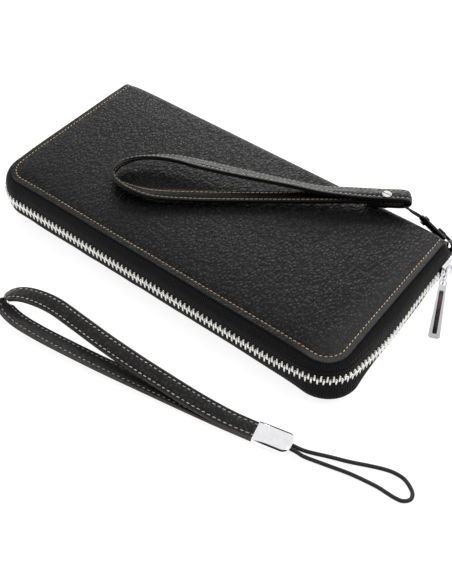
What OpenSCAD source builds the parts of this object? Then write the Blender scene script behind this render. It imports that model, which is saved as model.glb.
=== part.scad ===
// Zip-around long wallet with a wrist strap on a swivel clasp and a spare hand strap.
// Frame: origin at the centre of the cover's resting face, +X along the long side,
// +Y back to the folded spine, +Z up. Millimetres.

/* [Wallet] */
// Length of the leather cover along X
cover_len = 196; // [180:1:210]
// Height of the closed wallet
height = 26; // [25.6:0.1:27]
// Distance from the origin forward to the cover's front edge
front_depth = 46; // [44:0.5:48]
// Distance from the origin back to the outside of the spine
spine_depth = 49.5; // [49:0.1:50]
// Radius of the cover's two front corners
corner_r = 12; // [11:0.5:14]
// Outer radius where each cover turns down into the spine
spine_r = 5; // [4.4:0.2:6]
// Thickness of the cover leather
leather_t = 1.4; // [1.2:0.1:1.4]
// Thickness of the stiffening boards
board_t = 1.0; // [0.6:0.1:1.0]
// Thickness of the lining
lining_t = 0.6; // [0.4:0.1:0.6]

/* [Zip] */
// Thickness of the zip tape
tape_t = 0.7; // [0.5:0.05:0.7]
// How far the zip chain stands out from the cover's edge
tape_out = 4.0; // [3.8:0.1:4.2]
// Distance from tooth to tooth on one tape
tooth_pitch = 2.5; // [2.4:0.1:3.5]
// Width of one tooth along the chain
tooth_w = 1.1; // [0.9:0.1:1.1]

/* [Straps] */
// Width of the wrist strap
strap_w = 7.2; // [6.6:0.1:7.4]
// Thickness of each of the wrist strap's two plies
strap_ply = 0.9; // [0.7:0.05:0.9]
// Width of the spare hand strap
spare_w = 8.4; // [7.8:0.1:8.6]
// Thickness of each of the spare strap's two plies
spare_ply = 0.85; // [0.7:0.05:0.85]
// Diameter of the thin cord
cord_d = 1.7; // [1.4:0.1:1.8]

/* [Hidden] */
$fn = 48;

black = [0.07, 0.07, 0.07];
cloth = [0.05, 0.05, 0.055];
lining_tone = [0.13, 0.12, 0.12];
nickel = [0.82, 0.82, 0.80];
gunmetal = [0.14, 0.14, 0.15];

// Plan of the wallet
half_len = cover_len / 2;
mid_z = height / 2;
side_end_y = spine_depth - 4.5;
arc_y = corner_r - front_depth;
arc_x = half_len - corner_r;
board_inset = 5;
lining_inset = 1;

// Heights inside the wallet, lower half; the upper half mirrors them
board_z = leather_t;
lining_z = board_z + board_t;
pocket_z = lining_z + lining_t;
card_ply = 0.7;
cash_ply = 0.6;

// Zip chain
chain_s = tape_out - tape_t / 2;
chain_r = corner_r + chain_s;
chain_end_y = 36;
tape_edge = 0.8;
tooth_t = 2.1;
tooth_h = 3.6;
tooth_overlap = 0.7;
slot_gap = 0.05;
side_run_l = chain_end_y - arc_y;
arc_l = PI * chain_r / 2;
front_run_l = 2 * arc_x;
chain_l = 2 * side_run_l + 2 * arc_l + front_run_l;
tooth_n = floor(chain_l / tooth_pitch);

// Coin pocket
coin_ply = 0.8;
coin_low = 10.6;
coin_high = height - coin_low;
coin_half = 88;
coin_front = -38.8;
coin_back = 40;
coin_zip_y = -29.8;
coin_slot = 3.5;
coin_zip_scale = 0.7;
coin_chain_half = 76;
coin_tape_z = coin_high - coin_ply - 0.55;
coin_post = 1.7;

// Slider
slider_y = 41.5;
plate_l = 10;
plate_h = 9.2;
plate_t = 1.15;
plate_gap = 2.8;
lip_gap = 6.4;
lip_t = 0.8;
wedge_half = 0.4;
link_bar_y = slider_y - 1.4;
link_x = half_len + chain_s + plate_gap / 2 + plate_t + 0.55;
link_len = 7.7;
link_half_h = 3.2;
link_yaw = 12;
tab_hole = [link_x + link_len * sin(link_yaw), link_bar_y - link_len * cos(link_yaw), 13.4];
tab_pitch = 29.3;
tab_yaw = -66.1;
tab_l = 25.8;
tab_t = 1.2;
tab_head_r = 1.75;
tab_recess = 0.35;

// Hardware of the wrist strap
ring_bar = [100.2, 50.4];
ring_z = 15.5;
ring_wire = 0.6;
ring_r = 3.8;
ring_arm = 1.5;
ring_yaw = 132.7;
tab_fold_r = 1.15;
hook_at = [96.6, 54.3, ring_z];
collar_at = [84.2, 51.4, 25.0];
clasp_dir = hook_at - collar_at;
clasp_l = norm(clasp_dir);
clasp_tilt = acos(clasp_dir[2] / clasp_l);
clasp_yaw = atan2(clasp_dir[1], clasp_dir[0]);
hook_r = 3.1;
hook_wire = 0.8;
post_r = 0.8;
gate_pivot = [0, 2.4, clasp_l - 4.4];
rivet_at = [64.5, 47.95];
rivet_r = 2.2;
strap_gap = 0.05;

// Chrome ferrule of the spare strap
ferrule_at = [82.4, -77, 0];
ferrule_yaw = 13;
ferrule_l = 16;
ferrule_w = 10.4;
ferrule_h = 5.2;

// Route of the wrist strap's middle surface: x, y, z and the direction across the strap
wrist_route = [
    [57, 43.8, 27.6, -0.57, 0.82, 0], [64, 48.7, 27.6, -0.57, 0.82, 0],
    [71, 53.6, 27.7, -0.57, 0.82, 0], [73, 55, 29.6, -0.57, 0.82, 0],
    [71, 53.6, 31.5, -0.57, 0.82, 0], [64, 48.7, 31.6, -0.57, 0.82, 0],
    [50, 39.2, 32.1, -0.53, 0.85, -0.1], [37.6, 32.2, 32, -0.46, 0.83, -0.33],
    [24.5, 26.5, 32.6, -0.41, 0.84, -0.4], [11.5, 21.3, 32.9, -0.38, 0.87, -0.33],
    [-2.5, 16.2, 32.9, -0.36, 0.9, -0.25], [-16.5, 11.8, 32.5, -0.36, 0.9, -0.22],
    [-28.3, 8, 32.3, -0.38, 0.82, -0.36], [-38.3, 3, 31.9, -0.4, 0.72, -0.52],
    [-46, -3.9, 31.4, -0.4, 0.6, -0.66], [-49.4, -11, 30.9, -0.4, 0.54, -0.72],
    [-48.1, -17.2, 30.4, -0.4, 0.52, -0.75], [-42.3, -20.2, 30.1, -0.42, 0.6, -0.68],
    [-33.3, -19.4, 29.8, -0.5, 0.74, -0.42], [-23.7, -15.8, 29.3, -0.57, 0.81, -0.15],
    [-9.6, -6.1, 29, -0.6, 0.8, 0], [6.4, 6, 28.8, -0.6, 0.8, 0],
    [28.2, 22.7, 28.8, -0.6, 0.8, 0], [50, 38.8, 29.5, -0.57, 0.82, 0],
    [62, 47.3, 29.65, -0.57, 0.82, 0]];

// Route of the spare strap's middle surface
spare_route = [
    [88, -75.7, 3.6, -0.22, 0.97, 0], [82, -77.1, 3.6, -0.22, 0.97, 0],
    [70, -79.7, 4.2, -0.18, 0.98, 0.08], [55, -81.7, 5.3, -0.12, 0.95, 0.2],
    [39, -82.8, 6.4, -0.08, 0.92, 0.25], [24, -83.6, 7.4, -0.05, 0.9, 0.3],
    [6, -83.8, 8.1, -0.02, 0.9, 0.3], [-12, -83.3, 8.6, -0.02, 0.9, 0.3],
    [-26, -83.1, 8.9, -0.1, 0.92, 0.25], [-37, -84.8, 8.6, -0.25, 0.93, 0.1],
    [-45, -87.8, 7.8, -0.45, 0.85, -0.1], [-49, -92, 6.2, -0.5, 0.8, -0.3],
    [-46.5, -95.2, 4.7, -0.35, 0.88, -0.3], [-38, -96.6, 3.9, -0.2, 0.93, -0.25],
    [-26, -96, 3.6, -0.15, 0.95, -0.22], [-10, -94, 3.4, -0.15, 0.96, -0.2],
    [10, -90.9, 3, -0.17, 0.96, -0.18], [33, -86.6, 2.4, -0.18, 0.97, -0.12],
    [55, -82.4, 1.9, -0.19, 0.98, -0.05], [70, -79.4, 1.7, -0.2, 0.98, 0],
    [82, -76.9, 1.65, -0.22, 0.97, 0], [88, -75.5, 1.65, -0.22, 0.97, 0]];

// Route of the cord: out of the ferrule, round a loop on the table and back in
cord_route = [
    [97.65, -72.7, 2.6], [100.2, -72.1, 2.1], [102.5, -71.1, 1.3], [105.5, -69.8, 0.95],
    [112, -67, 0.95], [119.5, -64, 0.95], [127, -60.5, 0.95], [132.5, -58.2, 0.95],
    [136.5, -57.2, 0.95], [140.5, -57.2, 0.95], [144, -58.7, 0.95], [146.5, -60.8, 0.95],
    [147, -63.5, 0.95], [145, -65.8, 0.95], [142, -66.5, 0.95], [138.5, -66.6, 0.95],
    [135, -66.6, 0.95], [131, -67, 0.95], [122.5, -68.4, 0.95], [114.5, -70.5, 0.95],
    [107, -72.5, 0.95], [103.5, -73.5, 1.3], [101, -73.95, 2.1], [98.1, -74.5, 2.6]];

// Route of the swivel's wire link: through the strap's folded eye, both ends at the collar
link_route = [
    [82.4, 51, 26.9], [79.5, 50.6, 27.8], [76, 49.5, 29.1], [74.2, 49.5, 29.6],
    [71.2, 53.7, 29.6], [68.2, 58, 29.6], [67.6, 58.8, 28.6], [68.1, 58.1, 26.2],
    [71, 55.6, 25.4], [75.5, 52.8, 25.4], [79.5, 51.6, 25.8], [82.1, 51.1, 26.1]];

// Smooth curve through hand-set points
function along(p0, p1, p2, p3, t) =
    0.5 * (2 * p1 + (p2 - p0) * t + (2 * p0 - 5 * p1 + 4 * p2 - p3) * t * t
    + (3 * p1 - p0 - 3 * p2 + p3) * t * t * t);
function smooth(P, n) = concat(
    [for (i = [0:len(P) - 2], k = [0:n - 1])
        along(P[max(i - 1, 0)], P[i], P[i + 1], P[min(i + 2, len(P) - 1)], k / n)],
    [P[len(P) - 1]]);
function unit(v) = v / norm(v);
function xyz(p) = [p[0], p[1], p[2]];
function tangent(P, i) = unit(xyz(P[min(i + 1, len(P) - 1)]) - xyz(P[max(i - 1, 0)]));
function across(P, i) =
    let (w = [P[i][3], P[i][4], P[i][5]], t = tangent(P, i)) unit(w - (w * t) * t);

// Four corners of a strap ply at point i, between depths d0 and d1 towards the inner face
function ply_ring(P, i, w, d0, d1) =
    let (c = xyz(P[i]), a = across(P, i), n = cross(tangent(P, i), a))
    [c - a * w / 2 + n * d0, c + a * w / 2 + n * d0, c + a * w / 2 + n * d1, c - a * w / 2 + n * d1];

// Ring of k points round a tube at point i, turned so that its first point faces up
function tube_ring(P, i, r, k) =
    let (t = tangent(P, i), a = unit(cross(abs(t[2]) < 0.9 ? [0, 0, 1] : [1, 0, 0], t)), n = cross(t, a))
    [for (j = [0:k - 1]) P[i] + r * (a * cos(360 * j / k) + n * sin(360 * j / k))];

// Closed solid through a list of rings of equal size
module skin(rings) {
    k = len(rings[0]);
    m = len(rings);
    points = [for (ring = rings) for (p = ring) p];
    sides = [for (i = [0:m - 2], j = [0:k - 1], h = [0, 1])
        let (a = i * k + j, b = i * k + (j + 1) % k)
        h == 0 ? [a, b, b + k] : [a, b + k, a + k]];
    cap0 = [[for (j = [k - 1:-1:0]) j]];
    cap1 = [[for (j = [0:k - 1]) (m - 1) * k + j]];
    polyhedron(points, concat(sides, cap0, cap1));
}

module ply(route, w, d0, d1, n) {
    P = smooth(route, n);
    skin([for (i = [0:len(P) - 1]) ply_ring(P, i, w, d0, d1)]);
}

module tube(route, r, k, n) {
    P = smooth(route, n);
    skin([for (i = [0:len(P) - 1]) tube_ring(P, i, r, k)]);
}

// Plan with two round front corners
module plan(half_x, y0, y1, r) {
    translate([-half_x, y0 + r]) square([2 * half_x, y1 - y0 - r]);
    translate([r - half_x, y0]) square([2 * (half_x - r), 2 * r]);
    for (s = [-1, 1])
        translate([s * (half_x - r), y0 + r]) circle(r);
}

// Lower half of a folded sheet: flat plate, quarter roll and the spine up to the fold line
module folded_half(z0, t, inset) {
    roll_y = spine_depth - spine_r;
    r = spine_r - z0;
    intersection() {
        translate([-half_len, 0, 0]) rotate([90, 0, 90]) linear_extrude(cover_len) {
            translate([-front_depth, z0]) square([roll_y + front_depth, t]);
            translate([roll_y + r - t, spine_r]) square([t, mid_z - spine_r]);
            intersection() {
                translate([roll_y, spine_r]) difference() {
                    circle(r, $fn = 96);
                    circle(r - t, $fn = 96);
                }
                translate([roll_y, z0]) square([r, r]);
            }
        }
        linear_extrude(mid_z)
            plan(half_len - inset, inset - front_depth, spine_depth, corner_r - inset);
    }
}

// Turns a piece of the lower half over into the upper half
module upper() translate([0, 0, height]) mirror([0, 0, 1]) children();

// Carries a section (x = outwards from the cover's edge, y = height) round the three open sides
module round_three_sides() {
    for (s = [0, 1]) mirror([s, 0, 0]) {
        translate([half_len, side_end_y, 0]) rotate([90, 0, 0])
            linear_extrude(side_end_y - arc_y) children();
        translate([arc_x, arc_y, 0]) rotate([0, 0, -90])
            rotate_extrude(angle = 90, $fn = 96) translate([corner_r, 0]) children();
    }
    translate([arc_x, -front_depth, 0]) rotate([0, 0, -90]) rotate([90, 0, 0])
        linear_extrude(2 * arc_x) children();
}

// Section of the lower zip tape: sewn flange, bulge and the upright edge that holds the teeth
module tape_section() {
    o = tape_out;
    z = board_z;
    top = mid_z - tape_edge;
    polygon([[-4.5, z], [0.5, z], [o - 2.2, z + 0.4], [o - 1, z + 1.8], [o - 0.3, z + 4.1],
        [o, z + 7], [o, top], [o - tape_t, top], [o - tape_t, z + 7.1],
        [o - 1, z + 4.4], [o - 1.6, z + 2.5], [o - 2.6, z + 1.2], [0.4, z + tape_t],
        [-4.5, z + tape_t]]);
}

// Carries a piece along the chain by distance d from the right-hand end
module at_chain(d) {
    d1 = side_run_l;
    d2 = d1 + arc_l;
    d3 = d2 + front_run_l;
    d4 = d3 + arc_l;
    turn = 180 / PI / chain_r;
    if (d < d1)
        translate([half_len + chain_s, chain_end_y - d, 0]) children();
    else if (d < d2)
        translate([arc_x, arc_y, 0]) rotate([0, 0, -(d - d1) * turn])
            translate([chain_r, 0, 0]) children();
    else if (d < d3)
        translate([arc_x - (d - d2), -front_depth - chain_s, 0]) rotate([0, 0, -90]) children();
    else if (d < d4)
        translate([-arc_x, arc_y, 0]) rotate([0, 0, -90 - (d - d3) * turn])
            translate([chain_r, 0, 0]) children();
    else
        translate([-half_len - chain_s, arc_y + d - d4, 0]) rotate([0, 0, 180]) children();
}

// One tooth clamped on the edge of a tape that comes up from below z = 0
module tooth(w = tooth_w) {
    base = tooth_overlap - tooth_h;
    slot = tape_t / 2 + slot_gap;
    half = tooth_t / 2;
    rotate([90, 0, 0]) linear_extrude(w, center = true)
        polygon([[-half, base], [-slot, base], [-slot, slot_gap - tape_edge],
            [slot, slot_gap - tape_edge], [slot, base], [half, base],
            [half, tooth_overlap - 0.5], [half - 0.5, tooth_overlap],
            [0.5 - half, tooth_overlap], [-half, tooth_overlap - 0.5]]);
}

module chain(offset) {
    for (i = [0:tooth_n - 1])
        at_chain((i + offset) * tooth_pitch) translate([0, 0, mid_z]) tooth();
}

// Metal stop crimped on the tape's edge just past the last tooth
module stop() {
    slot = tape_t / 2 + slot_gap;
    half = tooth_t / 2;
    base = tooth_overlap - tooth_h;
    rotate([90, 0, 0]) linear_extrude(1, center = true)
        polygon([[-half, base], [-slot, base], [-slot, slot_gap - tape_edge],
            [slot, slot_gap - tape_edge], [slot, base], [half, base], [half, -0.5], [-half, -0.5]]);
}

module stops() {
    translate([half_len + chain_s, side_end_y - 0.9, mid_z]) stop();
    translate([-half_len - chain_s, chain_end_y + 1.4, mid_z]) stop();
}

// Three stepped card slots in two columns
module card_pockets() {
    for (s = [-1, 1], k = [0:2])
        translate([s * 44.5 - 43.5, -33, pocket_z + k * card_ply]) cube([87, 56 - 13 * k, card_ply]);
}

// Full-width slip pocket in front of the cards
module cash_pocket() {
    translate([-88, -33, pocket_z + 3 * card_ply]) cube([176, 18, cash_ply]);
}

module gusset() {
    translate([91.2, -26, pocket_z + 0.05]) cube([0.6, 65, height - 2 * pocket_z - 0.1]);
}

module bottom_cover() color(black) folded_half(0, leather_t, 0);
module top_cover() color(black) upper() folded_half(0, leather_t, 0);

module board() {
    translate([0, 0, board_z]) linear_extrude(board_t)
        plan(half_len - board_inset, board_inset - front_depth, spine_depth - spine_r - 1.5, 8);
}
module bottom_board() color("tan") board();
module top_board() color("tan") upper() board();

module bottom_lining() color(lining_tone) folded_half(lining_z, lining_t, lining_inset);
module top_lining() color(lining_tone) upper() folded_half(lining_z, lining_t, lining_inset);

module lower_zip_tape() color(cloth) round_three_sides() tape_section();
module upper_zip_tape() color(cloth) upper() round_three_sides() tape_section();

module lower_zip_teeth() color(nickel) chain(0);
module upper_zip_teeth() color(nickel) upper() chain(0.5);
module lower_zip_stops() color(nickel) stops();
module upper_zip_stops() color(nickel) upper() stops();

module lower_card_pockets() color(lining_tone) card_pockets();
module upper_card_pockets() color(lining_tone) upper() card_pockets();
module lower_cash_pocket() color(lining_tone) cash_pocket();
module upper_cash_pocket() color(lining_tone) upper() cash_pocket();

module right_gusset() color(lining_tone) gusset();
module left_gusset() color(lining_tone) mirror([1, 0, 0]) gusset();

// Leather tab sewn inside the upper spine and folded round the ring's bar
module ring_tab() color(black) {
    translate([0, 0, ring_z - 1.7]) linear_extrude(3.4) difference() {
        union() {
            translate([86, 47.15]) square([12.1, 0.9]);
            polygon([[97.9, 47.15], [98.9, 47.15], [101.1, 49.9], [99.2, 50.3], [98.05, 48.05]]);
            translate(ring_bar) circle(tab_fold_r);
        }
        translate(ring_bar) circle(ring_wire + 0.08);
    }
}

module coin_panel_lower() color(lining_tone)
    translate([-coin_half, coin_front, coin_low])
        cube([2 * coin_half, coin_back - coin_front, coin_ply]);

module coin_panel_upper() color(lining_tone)
    translate([-coin_half, coin_zip_y + coin_slot, coin_high - coin_ply])
        cube([2 * coin_half, coin_back - coin_zip_y - coin_slot, coin_ply]);

module coin_front_strip() color(lining_tone)
    translate([-coin_half, coin_front, coin_high - coin_ply])
        cube([2 * coin_half, coin_zip_y - coin_slot - coin_front, coin_ply]);

module coin_gusset() color(lining_tone)
    translate([0, 0, coin_low + coin_ply]) linear_extrude(coin_high - coin_low - 2 * coin_ply)
        difference() {
            translate([-coin_half, coin_front]) square([2 * coin_half, coin_back - coin_front]);
            translate([coin_ply - coin_half, coin_front + coin_ply])
                square([2 * (coin_half - coin_ply), coin_back - coin_front - 2 * coin_ply]);
        }

// The coin zip lies flat: the chain's outward side faces up
module coin_zip_frame() {
    translate([0, coin_zip_y, coin_tape_z + 0.25]) rotate([0, -90, -90]) scale(coin_zip_scale)
        children();
}

module coin_zip_tapes() color(cloth)
    for (s = [0, 1]) translate([0, coin_zip_y, coin_tape_z]) mirror([0, s, 0])
        translate([2 - coin_half, tape_edge * coin_zip_scale, 0])
            cube([2 * coin_half - 4, 5, 0.5]);

module coin_zip_teeth() color(nickel) {
    pitch = tooth_pitch * coin_zip_scale;
    n = floor(2 * coin_chain_half / pitch);
    for (i = [0:n - 1], s = [0, 1])
        translate([(i + s / 2) * pitch - coin_chain_half, 0, 0]) coin_zip_frame()
            mirror([0, 0, s]) tooth();
}

// Slider: two lipped plates joined by a wedge, with a bridge for the pull
module slider_shape() {
    inner = plate_gap / 2;
    for (s = [0, 1]) mirror([s, 0, 0]) {
        translate([inner, 0, 0]) rotate([90, 0, 90]) linear_extrude(plate_t) slider_outline();
        for (u = [0, 1]) mirror([0, 0, u])
            translate([inner - lip_t, -plate_l / 2 + 0.8, lip_gap / 2])
                cube([lip_t, plate_l - 4.5, (plate_h - lip_gap) / 2]);
    }
    translate([-inner, plate_l / 2 - 3, -wedge_half]) cube([plate_gap, 2.6, 2 * wedge_half]);
    translate([inner + plate_t, 0, -0.8]) linear_extrude(1.6) difference() {
        polygon([[0, -3], [1.5, -2.6], [2, -2], [2, 1.8], [1.5, 2.6], [0, 3.2]]);
        translate([0, -1.9]) square([1.1, 3.7]);
    }
}

module slider_outline() {
    h = plate_h / 2;
    l = plate_l / 2;
    polygon([[-l, -h + 0.6], [0.6 - l, -h], [l - 2, -h], [l, -h + 2], [l, h - 2], [l - 2, h],
        [0.6 - l, h], [-l, h - 0.6]]);
}

module slider_body() color(nickel)
    translate([half_len + chain_s, slider_y, mid_z]) slider_shape();

// Rectangular wire frame that joins the slider's bridge to the tab
module pull_link() color(nickel) translate([link_x, link_bar_y, mid_z]) rotate([0, 0, link_yaw]) {
    wire = 0.4;
    for (y = [0, -link_len])
        translate([0, y, -link_half_h]) cylinder(h = 2 * link_half_h, r = wire, $fn = 24);
    for (s = [-1, 1], y = [0, -link_len]) {
        translate([0, y, s * link_half_h]) sphere(wire, $fn = 24);
        translate([0, 0, s * link_half_h]) rotate([90, 0, 0])
            cylinder(h = link_len, r = wire, $fn = 24);
    }
}

// Long flat tab with a sunk panel, widening to a square end
module pull_tab() color(nickel)
    translate(tab_hole) rotate([0, tab_pitch, tab_yaw]) translate([0, 0, -tab_t / 2]) difference() {
        linear_extrude(tab_t) difference() {
            union() {
                circle(tab_head_r);
                polygon([[0, -1.65], [tab_l - 0.8, -2.6], [tab_l, -1.8], [tab_l, 1.8],
                    [tab_l - 0.8, 2.6], [0, 1.65]]);
            }
            circle(1.2);
        }
        translate([3.6, -1.1, tab_t - tab_recess]) cube([tab_l - 5.6, 2.2, tab_t]);
    }

module coin_slider() color(nickel)
    translate([coin_chain_half - 3, 0, 0]) coin_zip_frame() slider_shape();

// Small flat tab looped round the front post of the coin slider's bridge
module coin_pull() color(nickel)
    translate([coin_chain_half - 3 - coin_post, coin_zip_y, coin_high + 0.8])
        linear_extrude(0.5) difference() {
            union() {
                circle(1.6);
                translate([-12, -1.4]) square([12, 2.8]);
                translate([-12, 0]) circle(2.2);
            }
            circle(0.95);
            translate([-12, 0]) circle(1.1);
        }

// D-shaped wire ring on the tab's fold
module d_ring() color(nickel)
    translate([ring_bar[0], ring_bar[1], ring_z]) rotate([0, 0, ring_yaw]) {
        cylinder(h = 2 * ring_r, r = ring_wire, center = true);
        for (s = [-1, 1]) translate([0, 0, s * ring_r]) {
            sphere(ring_wire);
            rotate([0, 90, 0]) cylinder(h = ring_arm, r = ring_wire);
        }
        translate([ring_arm, 0, 0]) rotate([90, 0, 0]) rotate([0, 0, -90])
            rotate_extrude(angle = 180) translate([ring_r, 0]) circle(ring_wire);
    }

// Clasp frame: +Z runs from the collar to the hook, +Y lies level
module clasp_frame() translate(collar_at) rotate([0, clasp_tilt, clasp_yaw]) children();

// Snap hook: collar, shank and an open ring
module clasp_body() color(gunmetal) clasp_frame() {
    difference() {
        union() {
            translate([0, 0, -1]) cylinder(h = 2, r = 2.1);
            translate([0, 0, 0.9]) cylinder(h = clasp_l - hook_r - 0.6, r = 1.5);
        }
        translate([0, 0, -2]) cylinder(h = 4.6, r = post_r + 0.05);
        translate([0, 0, 1.6]) cylinder(h = 1.3, r = 1.15);
    }
    translate([0, 0, clasp_l]) rotate([0, 90, 0]) rotate([0, 0, 145])
        rotate_extrude(angle = 215) translate([hook_r, 0]) circle(hook_wire, $fn = 32);
    for (s = [0, 1]) mirror([s, 0, 0]) translate([0.65, 0, gate_pivot[2]]) difference() {
        translate([0, 0.9, -0.8]) cube([0.4, 2.1, 1.6]);
        translate([-1, gate_pivot[1], 0]) rotate([0, 90, 0]) cylinder(h = 3, r = 0.35, $fn = 24);
    }
}

// Sprung thumb gate that closes the hook
module clasp_gate() color(gunmetal) clasp_frame() translate(gate_pivot) {
    rotate([0, 90, 0]) cylinder(h = 2.2, r = 0.3, center = true, $fn = 24);
    translate([-0.6, -0.3, 0]) cube([1.2, 1.0, 5.8]);
    translate([-0.6, 0.1, -3]) cube([1.2, 0.9, 3.1]);
}

module swivel_post() color(gunmetal) clasp_frame() {
    translate([0, 0, -2.2]) cylinder(h = 4.4, r = post_r);
    translate([0, 0, 1.75]) cylinder(h = 0.95, r = 1.05);
    translate([0, 0, -2.6]) cylinder(h = 1.4, r = 1.3);
}

module wire_link() color(gunmetal) tube(link_route, 0.5, 8, 4);

module strap_outer() color(black)
    ply(wrist_route, strap_w, -strap_ply - strap_gap, -strap_gap, 4);
module strap_lining() color(lining_tone)
    ply(wrist_route, strap_w, strap_gap, strap_gap + strap_ply, 4);

// Slotted screw rivet through the three layers at the eye
module strap_rivet() color(nickel) translate([rivet_at[0], rivet_at[1], 0]) {
    translate([0, 0, 32.6]) difference() {
        cylinder(h = 0.75, r = rivet_r);
        translate([-3, -0.3, 0.4]) cube([6, 0.6, 1]);
    }
    translate([0, 0, 26.4]) cylinder(h = 6.3, r = 1.3);
    translate([0, 0, 26.15]) cylinder(h = 0.45, r = rivet_r);
}

module spare_strap_outer() color(black)
    ply(spare_route, spare_w, -spare_ply - strap_gap, -strap_gap, 4);
module spare_strap_lining() color(lining_tone)
    ply(spare_route, spare_w, strap_gap, strap_gap + spare_ply, 4);

// Chrome ferrule crimped over the spare strap's ends, closed where the cord comes out
module round_section(w, h, r) {
    translate([-w / 2 + r, 0]) square([w - 2 * r, h]);
    translate([-w / 2, r]) square([w, h - 2 * r]);
    for (x = [r - w / 2, w / 2 - r], y = [r, h - r])
        translate([x, y]) circle(r);
}
module ferrule() color(nickel)
    translate(ferrule_at) rotate([0, 0, ferrule_yaw]) rotate([90, 0, 90]) difference() {
        linear_extrude(ferrule_l) round_section(ferrule_w, ferrule_h, 2);
        translate([0, 0.65, -1]) linear_extrude(ferrule_l - 5) round_section(9, 3.9, 0.6);
    }

module cord_loop() color(black) tube(cord_route, cord_d / 2, 8, 3);

bottom_cover();
bottom_board();
bottom_lining();
lower_zip_tape();
lower_zip_teeth();
lower_zip_stops();
lower_card_pockets();
lower_cash_pocket();
left_gusset();
right_gusset();
top_cover();
top_board();
top_lining();
upper_zip_tape();
upper_zip_teeth();
upper_zip_stops();
upper_card_pockets();
upper_cash_pocket();
ring_tab();
coin_panel_lower();
coin_panel_upper();
coin_front_strip();
coin_gusset();
coin_zip_tapes();
coin_zip_teeth();
coin_slider();
coin_pull();
slider_body();
pull_link();
pull_tab();
d_ring();
clasp_body();
clasp_gate();
swivel_post();
wire_link();
strap_outer();
strap_lining();
strap_rivet();
spare_strap_outer();
spare_strap_lining();
ferrule();
cord_loop();
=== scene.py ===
import math

import bmesh
import bpy
import numpy as np
from mathutils import Matrix, Vector, noise


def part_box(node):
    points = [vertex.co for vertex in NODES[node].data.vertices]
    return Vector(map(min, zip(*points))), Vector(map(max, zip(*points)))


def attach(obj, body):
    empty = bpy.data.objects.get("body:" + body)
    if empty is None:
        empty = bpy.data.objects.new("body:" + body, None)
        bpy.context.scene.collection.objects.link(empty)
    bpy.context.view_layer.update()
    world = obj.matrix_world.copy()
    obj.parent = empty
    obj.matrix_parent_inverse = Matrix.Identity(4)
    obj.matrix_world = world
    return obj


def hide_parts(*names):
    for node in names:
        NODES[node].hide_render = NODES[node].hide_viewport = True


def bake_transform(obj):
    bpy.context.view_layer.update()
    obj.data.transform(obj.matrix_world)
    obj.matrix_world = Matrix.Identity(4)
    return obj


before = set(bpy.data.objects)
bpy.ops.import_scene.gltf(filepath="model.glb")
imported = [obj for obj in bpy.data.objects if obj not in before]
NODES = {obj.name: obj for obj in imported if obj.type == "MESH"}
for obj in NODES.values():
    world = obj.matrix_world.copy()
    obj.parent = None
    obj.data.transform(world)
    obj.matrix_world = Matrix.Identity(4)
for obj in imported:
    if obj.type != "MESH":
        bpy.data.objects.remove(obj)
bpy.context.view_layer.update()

MM = 0.001
# The closed wallet, in millimetres: half its length, its front edge and spine, its height, the radii of
# its front corners and of the spine's roll, and the seam's distance in from the edge
HALF, FRONT, SPINE, HEIGHT, CORNER, ROLL, SEAM = 98.0, 46.0, 49.5, 26.0, 12.0, 5.5, 2.5
rng = np.random.default_rng(7)


def add_object(name, data):
    ob = bpy.data.objects.new(name, data)
    bpy.context.collection.objects.link(ob)
    return ob


# ---------------------------------------------------------------- camera

def make_camera():
    az, el, distance = math.radians(37.99), math.radians(49.17), 0.399
    target = Vector((0.0249, -0.023, 0))
    back = Vector((math.sin(az) * math.cos(el), -math.cos(az) * math.cos(el), math.sin(el)))
    data = bpy.data.cameras.new("camera")
    data.lens = 52.28
    data.sensor_width = 36
    data.clip_start, data.clip_end = 0.01, 20
    cam = add_object("camera", data)
    cam.location = target + back * distance
    cam.rotation_mode = "QUATERNION"
    cam.rotation_quaternion = (-back).to_track_quat("-Z", "Y")
    bpy.context.scene.camera = cam


# ---------------------------------------------------------------- shader helpers

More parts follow.
